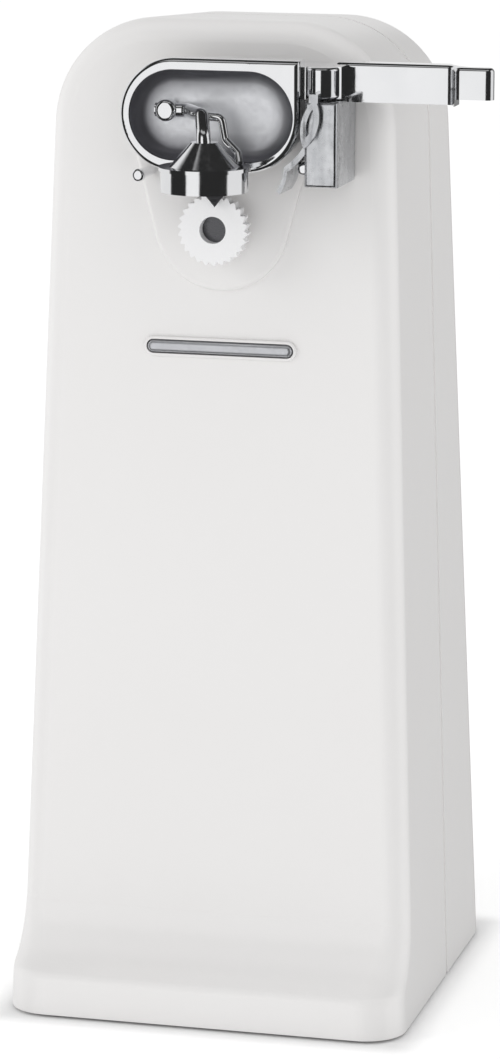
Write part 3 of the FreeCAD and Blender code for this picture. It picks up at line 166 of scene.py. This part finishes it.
class Finish(Nodes):
    """A Principled material whose textures run in the row frame, in millimetres."""

    def __init__(self, name, colour, roughness, metallic=0.0, **extra):
        self.mat = bpy.data.materials.new(name)
        self.mat.use_nodes = True
        super().__init__(self.mat.node_tree)
        out = self.node("ShaderNodeOutputMaterial")
        self.bsdf = self.node("ShaderNodeBsdfPrincipled")
        self.feed(out.inputs[0], self.bsdf.outputs[0])
        self.bsdf.inputs["Base Color"].default_value = (*colour, 1.0)
        self.bsdf.inputs["Roughness"].default_value = roughness
        self.bsdf.inputs["Metallic"].default_value = metallic
        for key, value in extra.items():
            self.bsdf.inputs[key.replace("_", " ")].default_value = value
        coord = self.node("ShaderNodeTexCoord")
        scale = self.node("ShaderNodeVectorMath", operation="SCALE")
        scale.inputs["Scale"].default_value = PER_METRE
        self.feed(scale.inputs[0], coord.outputs["Object"])
        self.place = scale.outputs[0]
        self.relief = None

    def stretched(self, stretch, offset=(0.0, 0.0, 0.0)):
        """The place less the offset, with each axis multiplied by its stretch."""
        moved = self.node("ShaderNodeVectorMath", operation="SUBTRACT")
        self.feed(moved.inputs[0], self.place)
        moved.inputs[1].default_value = offset
        made = self.node("ShaderNodeVectorMath", operation="MULTIPLY")
        self.feed(made.inputs[0], moved.outputs[0])
        made.inputs[1].default_value = stretch
        return made.outputs[0]

    def noise(self, per_mm, detail=3.0, stretch=(1.0, 1.0, 1.0)):
        """0 to 1 noise with about per_mm cells to the millimetre."""
        made = self.node("ShaderNodeTexNoise")
        self.feed(made.inputs["Vector"], self.stretched(stretch))
        made.inputs["Scale"].default_value = per_mm
        made.inputs["Detail"].default_value = detail
        return made.outputs["Fac"]

    def cells(self, per_mm):
        made = self.node("ShaderNodeTexVoronoi")
        self.feed(made.inputs["Vector"], self.place)
        made.inputs["Scale"].default_value = per_mm
        return made.outputs["Distance"]

    def radius(self, centre):
        """Distance from an axis along Y through centre, in millimetres."""
        flat = self.stretched((1.0, 0.0, 1.0), (centre[0], 0.0, centre[2]))
        made = self.node("ShaderNodeVectorMath", operation="LENGTH")
        self.feed(made.inputs[0], flat)
        return made.outputs["Value"]

    def along(self, axis):
        made = self.node("ShaderNodeSeparateXYZ")
        self.feed(made.inputs[0], self.place)
        return made.outputs[axis]

    def ripple(self, value, pitch):
        """A wave of the given pitch, from 0 to 1."""
        turned = self.math("SINE", self.math("MULTIPLY", value, TAU / pitch))
        return self.math("MULTIPLY", self.math("ADD", turned, 1.0), 0.5)

    def remap(self, value, lo, hi, out_lo, out_hi):
        made = self.node("ShaderNodeMapRange")
        self.feed(made.inputs["Value"], value)
        for key, number in (("From Min", lo), ("From Max", hi), ("To Min", out_lo), ("To Max", out_hi)):
            made.inputs[key].default_value = number
        return made.outputs["Result"]

    def tint(self, factor, dark, light):
        """Colour that runs from dark to light with factor."""
        made = self.node("ShaderNodeValToRGB")
        self.feed(made.inputs["Fac"], factor)
        made.color_ramp.elements[0].color = (*dark, 1.0)
        made.color_ramp.elements[1].color = (*light, 1.0)
        self.feed(self.bsdf.inputs["Base Color"], made.outputs["Color"])

    def rough(self, factor, smooth, coarse):
        self.feed(self.bsdf.inputs["Roughness"], self.remap(factor, NOISE_LOW, NOISE_HIGH, smooth, coarse))

    def bump(self, height, depth_mm, strength=1.0):
        """Relief of the given depth; later calls lie on top of earlier ones."""
        made = self.node("ShaderNodeBump")
        made.inputs["Strength"].default_value = strength
        made.inputs["Distance"].default_value = depth_mm * MM
        self.feed(made.inputs["Height"], height)
        if self.relief is not None:
            self.feed(made.inputs["Normal"], self.relief)
        self.relief = made.outputs["Normal"]
        self.feed(self.bsdf.inputs["Normal"], self.relief)


def white_plastic():
    f = Finish("white_plastic", (0.83, 0.82, 0.815), 0.3)
    cloud = f.noise(0.02, 3.0)
    f.tint(cloud, (0.822, 0.810, 0.802), (0.838, 0.830, 0.825))
    f.bump(f.noise(2.0, 2.0), 0.004, 0.08)
    return f.mat


def dark_plastic():
    f = Finish("dark_plastic", (0.03, 0.03, 0.032), 0.5)
    f.tint(f.noise(1.2, 4.0), (0.022, 0.022, 0.024), (0.045, 0.045, 0.048))
    f.rough(f.noise(0.8, 4.0), 0.42, 0.62)
    f.bump(f.noise(4.0, 4.0), 0.05, 0.6)
    return f.mat


def foot_rubber():
    f = Finish("foot_rubber", (0.02, 0.02, 0.02), 0.75)
    f.tint(f.noise(1.5, 5.0), (0.012, 0.012, 0.012), (0.035, 0.034, 0.034))
    f.rough(f.noise(2.0, 4.0), 0.65, 0.85)
    f.bump(f.noise(3.0, 5.0), 0.06, 0.7)
    return f.mat


def chrome_plate():
    f = Finish("chrome_plate", (0.86, 0.865, 0.88), 0.07, 1.0)
    f.tint(f.noise(0.15, 3.0), (0.82, 0.825, 0.84), (0.90, 0.905, 0.915))
    scuff = f.noise(1.4, 5.0, (1.0, 1.0, 0.15))
    f.rough(scuff, 0.045, 0.13)
    f.bump(f.noise(0.35, 2.0), 0.05, 0.35)
    f.bump(f.noise(6.0, 2.0), 0.003, 0.4)
    return f.mat


def cast_chrome():
    """Plating over an unpolished casting: soft dents that break the reflections up."""
    f = Finish("cast_chrome", (0.74, 0.75, 0.77), 0.2, 1.0)
    f.tint(f.noise(0.25, 2.0, (1.6, 1.0, 0.4)), (0.34, 0.35, 0.37), (0.84, 0.85, 0.87))
    f.rough(f.noise(0.8, 3.0), 0.16, 0.30)
    f.bump(f.noise(0.22, 1.0, (1.8, 1.0, 0.6)), 0.7, 0.5)
    f.bump(f.noise(3.0, 2.0), 0.006, 0.3)
    return f.mat


def satin_chrome():
    f = Finish("satin_chrome", (0.72, 0.73, 0.76), 0.36, 0.9)
    f.tint(f.noise(0.3, 3.0), (0.68, 0.69, 0.72), (0.80, 0.81, 0.84))
    f.rough(f.noise(1.0, 4.0), 0.32, 0.42)
    f.bump(f.noise(9.0, 3.0), 0.01, 0.6)
    return f.mat


DISH_SHADE_START = 3.6             # millimetres from the dish's middle line where the bright floor ends and the painted shade begins
DISH_SHADE_FULL = 8.6               # and where the painted shade band under the rim has its full depth
DISH_HALF = 14.0
DISH_SHADE_LEAN = (0.9, -0.7)       # moves the painted shade band inwards at the left end and outwards at the right


def dish_satin_painted_shade():
    """Satin tray with painted shade: the floor is left bright, and the band under the rim is painted dark.
    """
    lo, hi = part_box("lever_dish")
    reach = (hi.x - lo.x - hi.z + lo.z) * (0.5 * PER_METRE)
    f = Finish("dish_satin_painted_shade", (0.8, 0.81, 0.84), 0.38, 0.8)
    here = f.stretched((1.0, 0.0, 1.0), tuple(middle_mm(lo, hi)))
    parts = f.node("ShaderNodeSeparateXYZ")
    f.feed(parts.inputs[0], here)
    across, height = parts.outputs["X"], parts.outputs["Z"]
    far = f.hypotenuse(f.past(across, reach), height)
    far = f.math("ADD", far, f.remap(across, -DISH_HALF, DISH_HALF, *DISH_SHADE_LEAN))
    # painted shade: dark towards the rim, bright on the floor of the bowl
    light = f.remap(far, DISH_SHADE_START, DISH_SHADE_FULL, 1.0, 0.0)
    f.tint(f.math("MULTIPLY", light, f.remap(f.noise(0.3, 3.0), NOISE_LOW, NOISE_HIGH, 0.92, 1.0)),
           (0.20, 0.20, 0.22), (0.95, 0.96, 0.99))
    f.rough(f.noise(1.0, 4.0), 0.34, 0.44)
    f.bump(f.noise(9.0, 3.0), 0.008, 0.5)
    return f.mat


def wheel_steel():
    lo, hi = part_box("drive_wheel")
    f = Finish("wheel_steel", (0.95, 0.95, 0.96), 0.4, 0.08)
    far = f.radius(middle_mm(lo, hi))
    turned = f.ripple(far, 0.28)
    f.tint(f.math("MULTIPLY", turned, f.noise(1.5, 4.0)), (0.93, 0.93, 0.94), (1.0, 1.0, 1.0))
    f.rough(f.noise(2.5, 4.0), 0.34, 0.5)
    f.bump(turned, 0.012, 0.5)
    f.bump(f.noise(8.0, 4.0), 0.008, 0.5)
    return f.mat


def blade_steel():
    f = Finish("blade_steel", (0.12, 0.12, 0.13), 0.3, 1.0)
    grind = f.noise(0.8, 4.0, (0.4, 1.0, 9.0))
    f.tint(grind, (0.07, 0.07, 0.075), (0.19, 0.19, 0.20))
    f.rough(grind, 0.22, 0.42)
    f.bump(grind, 0.012, 0.6)
    return f.mat


def plated_steel():
    f = Finish("plated_steel", (0.60, 0.60, 0.57), 0.32, 1.0)
    f.tint(f.cells(0.6), (0.50, 0.50, 0.47), (0.72, 0.72, 0.69))
    f.rough(f.noise(1.2, 5.0), 0.25, 0.45)
    f.bump(f.noise(4.0, 4.0), 0.01, 0.5)
    return f.mat


def ferrite():
    f = Finish("ferrite", (0.06, 0.06, 0.065), 0.6, 0.3)
    f.tint(f.noise(5.0, 5.0), (0.035, 0.035, 0.04), (0.10, 0.10, 0.11))
    f.rough(f.noise(3.0, 4.0), 0.5, 0.75)
    f.bump(f.noise(6.0, 5.0), 0.03, 0.8)
    return f.mat


def gear_nylon():
    f = Finish("gear_nylon", (0.80, 0.77, 0.66), 0.42)
    f.tint(f.noise(0.2, 4.0), (0.74, 0.70, 0.58), (0.84, 0.81, 0.71))
    f.rough(f.noise(0.8, 4.0), 0.35, 0.52)
    f.bump(f.noise(3.0, 3.0), 0.012, 0.5)
    return f.mat


def bronze():
    f = Finish("bronze", (0.55, 0.36, 0.17), 0.4, 1.0)
    pores = f.remap(f.cells(5.0), 0.05, 0.3, 0.0, 1.0)
    f.tint(pores, (0.20, 0.12, 0.05), (0.62, 0.41, 0.20))
    f.rough(f.noise(2.0, 4.0), 0.32, 0.55)
    f.bump(pores, 0.02, 0.6)
    return f.mat


def lamination():
    f = Finish("lamination", (0.20, 0.20, 0.21), 0.45, 0.9)
    sheets = f.ripple(f.along("Y"), 0.6)
    f.tint(f.math("MULTIPLY", sheets, f.noise(0.6, 4.0)), (0.09, 0.09, 0.10), (0.34, 0.34, 0.36))
    f.rough(f.noise(0.8, 4.0), 0.35, 0.6)
    f.bump(sheets, 0.08, 0.8)
    return f.mat


def copper_wire():
    f = Finish("copper_wire", (0.60, 0.24, 0.09), 0.28, 0.85, Coat_Weight=0.5, Coat_Roughness=0.15)
    turns = f.ripple(f.along("X"), 0.42)
    f.tint(turns, (0.30, 0.10, 0.035), (0.72, 0.31, 0.13))
    f.rough(f.noise(1.0, 4.0), 0.22, 0.38)
    f.bump(turns, 0.16, 1.0)
    return f.mat


def switch_plastic():
    f = Finish("switch_plastic", (0.015, 0.015, 0.017), 0.38)
    f.tint(f.noise(0.9, 4.0), (0.010, 0.010, 0.012), (0.028, 0.028, 0.030))
    f.rough(f.noise(1.5, 4.0), 0.30, 0.5)
    f.bump(f.noise(5.0, 3.0), 0.015, 0.6)
    return f.mat


def rotor_metal():
    f = Finish("rotor_metal", (0.45, 0.45, 0.47), 0.42, 1.0)
    sheets = f.ripple(f.along("Y"), 0.5)
    f.tint(f.math("MULTIPLY", sheets, f.noise(1.0, 4.0)), (0.28, 0.28, 0.30), (0.62, 0.62, 0.64))
    f.rough(f.noise(1.2, 4.0), 0.34, 0.55)
    f.bump(sheets, 0.03, 0.7)
    return f.mat


FINISHES = {make.__name__: make() for make in (
    white_plastic, dark_plastic, foot_rubber, cast_chrome, satin_chrome, dish_satin_painted_shade, wheel_steel,
    blade_steel, plated_steel, ferrite, gear_nylon, bronze, lamination, copper_wire, switch_plastic,
    rotor_metal, chrome_plate)}

# Nodes whose finish isn't the one of their slot: the rough castings and the satin bar
OTHER_FINISH = {
    "latch_loop": "cast_chrome",
    "can_guide": "cast_chrome",
    "stop_block": "cast_chrome",
    "stability_bar": "satin_chrome",
}


def dress_nodes():
    """Every CAD node gets the finish of its slot in the record, or its own from OTHER_FINISH."""
    for part in frame["record"]["subparts"]:
        obj = frame["nodes"][part["node"]]
        finish = FINISHES[OTHER_FINISH.get(part["node"], part["material_slot"])]
        if not obj.material_slots:
            obj.data.materials.append(finish)
        for slot in obj.material_slots:
            slot.material = finish


dress_nodes()


# ---- sculpted pieces --------------------------------------------------------------------------

def piece(name, bm, body, finish):
    """A finished bmesh as a shown, smooth piece that rides on a body."""
    mesh = bpy.data.meshes.new(name)
    bm.to_mesh(mesh)
    bm.free()
    for face in mesh.polygons:
        face.use_smooth = True
    mesh.materials.append(FINISHES[finish])
    obj = bpy.data.objects.new(name, mesh)
    bpy.context.scene.collection.objects.link(obj)
    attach(obj, body)
    return obj


def skin(bm, rings):
    """Faces between rings of equally many points."""
    rows = [[bm.verts.new(p) for p in ring] for ring in rings]
    count = len(rows[0])
    for one, other in zip(rows, rows[1:]):
        for k in range(count):
            bm.faces.new((one[k], one[(k + 1) % count], other[(k + 1) % count], other[k]))


OVAL_POINTS = 48


def oval(lo, hi, inset, y):
    """Points of a stadium in the plane y, inset from the box from lo to hi."""
    zc = 0.5 * (lo.z + hi.z)
    r = 0.5 * (hi.z - lo.z)
    x0, x1 = lo.x + r, hi.x - r
    r -= inset
    half = OVAL_POINTS // 2
    points = []
    for centre, start in ((x1, -math.pi / 2), (x0, math.pi / 2)):
        for k in range(half + 1):
            a = start + math.pi * k / half
            points.append((centre + r * math.cos(a), y, zc + r * math.sin(a)))
    return points


BOWL_LIP = 0.05               # millimetres from the front of the tray to the lip of the bowl
# Inset from the tray's outline and depth behind the lip, in millimetres, from the lip to the floor
BOWL_PROFILE = ((0.05, 0.0), (0.25, 0.23), (0.5, 0.83), (0.9, 1.56), (1.5, 2.16), (2.3, 2.58), (3.2, 2.78),
                (4.4, 2.89), (5.8, 2.94), (7.4, 2.94))


def dish_bowl():
    """The pressed oval bowl of the head: steep walls, a rolled corner and a flat floor."""
    lo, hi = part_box("lever_dish")
    front = lo.y + BOWL_LIP * MM
    bm = bmesh.new()
    rings = [oval(lo, hi, inset * MM, front + depth * MM) for inset, depth in BOWL_PROFILE]
    skin(bm, rings)
    bm.verts.ensure_lookup_table()
    bm.faces.new(bm.verts[-len(rings[-1]):])
    bmesh.ops.recalc_face_normals(bm, faces=bm.faces)
    made = piece("dish_bowl", bm, "lever", "dish_satin_painted_shade")
    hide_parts("lever_dish")


dish_bowl()


# ---- studio -----------------------------------------------------------------------------------

FLOOR_HALF = 20.0             # metres
FLOOR_GAP = 0.0002            # metres between the foot and the floor, so that they don't share a plane
CONTACT_SHADOW_MARGIN = 1.5             # millimetres of floor round the foot with no glow, a painted contact shadow
CONTACT_SHADOW_FADE = 9.0               # millimetres over which the glow then sets in and the painted contact shadow fades
GLOW = 0.28


def floor():
    """Plain pale floor that glows a little, except close to the foot, where the missing glow is a painted
    contact shadow.
    """
    mesh = bpy.data.meshes.new("floor")
    corners = [(x * FLOOR_HALF, y * FLOOR_HALF, 0) for x, y in ((-1, -1), (1, -1), (1, 1), (-1, 1))]
    mesh.from_pydata(corners, [], [(0, 1, 2, 3)])
    obj = bpy.data.objects.new("floor", mesh)
    bpy.context.scene.collection.objects.link(obj)
    obj.location.z = low.z - FLOOR_GAP
    f = Finish("floor", (0.90, 0.90, 0.90), 1.0, Specular_IOR_Level=0.0)
    f.bsdf.inputs["Emission Color"].default_value = (1.0, 1.0, 1.0, 1.0)
    parts = f.node("ShaderNodeSeparateXYZ")
    f.feed(parts.inputs[0], f.place)
    # painted contact shadow: the glow is left out in a box round the foot
    foot_low, foot_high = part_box("foot_ring")
    dark = (foot_high - foot_low) * (0.5 * PER_METRE) + Vector((CONTACT_SHADOW_MARGIN, CONTACT_SHADOW_MARGIN, 0.0))
    away = f.hypotenuse(f.past(parts.outputs["X"], dark.x), f.past(parts.outputs["Y"], dark.y))
    f.feed(f.bsdf.inputs["Emission Strength"], f.smooth(away, 0.0, CONTACT_SHADOW_FADE, GLOW))
    mesh.materials.append(f.mat)
    obj.visible_glossy = False


# Soft boxes in the reflections, in degrees: turn from and to, rise from and to, softness in turn
# and in rise, then the level
SOFT_BOXES = (
    (-33.0, 2.0, -34.0, 34.0, 2.5, 7.0, 1.15),
    (76.0, 128.0, -40.0, 40.0, 3.0, 8.0, 1.0),
    (-178.0, -81.0, -40.0, 40.0, 3.0, 8.0, 1.0),
    (128.0, 182.0, -40.0, 30.0, 3.0, 8.0, 0.28),
    (-60.0, 60.0, 52.0, 70.0, 6.0, 5.0, 0.55),
)
GAP_LEVEL = 0.03              # level between the soft boxes
# Even light: a base level, and what each side adds to it
EVEN_BASE = 0.46
EVEN_FRONT = 0.24
EVEN_LEFT = 0.10
EVEN_ABOVE = 0.50
EVEN_RIGHT = 0.34


def world():
    """Even light for shading; the glossy side shows a studio of soft boxes with dark gaps."""
    made = bpy.data.worlds.new("studio")
    bpy.context.scene.world = made
    made.use_nodes = True
    sky = Nodes(made.node_tree)
    calc = sky.math
    coord = sky.node("ShaderNodeTexCoord")
    split = sky.node("ShaderNodeSeparateXYZ")
    sky.feed(split.inputs[0], coord.outputs["Generated"])
    x, y, z = (split.outputs[k] for k in "XYZ")
    turn = calc("DEGREES", calc("ARCTAN2", x, calc("MULTIPLY", y, -1.0)))
    rise = calc("DEGREES", calc("ARCSINE", z))

    def band(value, start, end, soft):
        risen = sky.smooth(value, start - soft, start + soft)
        fallen = sky.smooth(value, end - soft, end + soft)
        return calc("MULTIPLY", risen, calc("SUBTRACT", 1.0, fallen))

    gloss = GAP_LEVEL
    for turn_a, turn_b, rise_a, rise_b, soft_turn, soft_rise, level in SOFT_BOXES:
        patch = calc("MULTIPLY", band(turn, turn_a, turn_b, soft_turn),
                     band(rise, rise_a, rise_b, soft_rise))
        gloss = calc("ADD", gloss, calc("MULTIPLY", patch, level))
    front = calc("MULTIPLY", calc("ADD", calc("MULTIPLY", y, -1.0), 1.0), 0.5)
    left = calc("MULTIPLY", calc("SUBTRACT", 1.0, x), 0.5)
    above = calc("MAXIMUM", z, 0.0)
    right = calc("MAXIMUM", x, 0.0)
    even = calc("ADD", calc("MULTIPLY", front, EVEN_FRONT), calc("MULTIPLY", left, EVEN_LEFT))
    even = calc("ADD", even, EVEN_BASE)
    even = calc("ADD", even, calc("MULTIPLY", above, EVEN_ABOVE))
    even = calc("ADD", even, calc("MULTIPLY", right, EVEN_RIGHT))
    glossy = sky.node("ShaderNodeLightPath").outputs["Is Glossy Ray"]
    level = calc("ADD", calc("MULTIPLY", even, calc("SUBTRACT", 1.0, glossy)),
                 calc("MULTIPLY", gloss, glossy))
    back = sky.node("ShaderNodeBackground")
    sky.feed(back.inputs["Strength"], level)
    out = sky.node("ShaderNodeOutputWorld")
    sky.feed(out.inputs[0], back.outputs[0])


def lamp(name, azimuth, elevation, distance, width, height, power):
    data = bpy.data.lights.new(name, "AREA")
    data.shape = "RECTANGLE"
    data.size, data.size_y = width, height
    data.energy = power
    obj = bpy.data.objects.new(name, data)
    bpy.context.scene.collection.objects.link(obj)
    away = direction(azimuth, elevation)
    obj.location = (low + high) / 2 + away * distance
    obj.rotation_euler = (-away).to_track_quat("-Z", "Y").to_euler()
    obj.visible_glossy = False
    obj.visible_camera = False


floor()
world()
lamp("key", azimuth=-58.0, elevation=22.0, distance=1.3, width=0.35, height=0.45, power=2.4)
scene = bpy.context.scene
scene.view_settings.view_transform = "Standard"
scene.view_settings.look = "None"
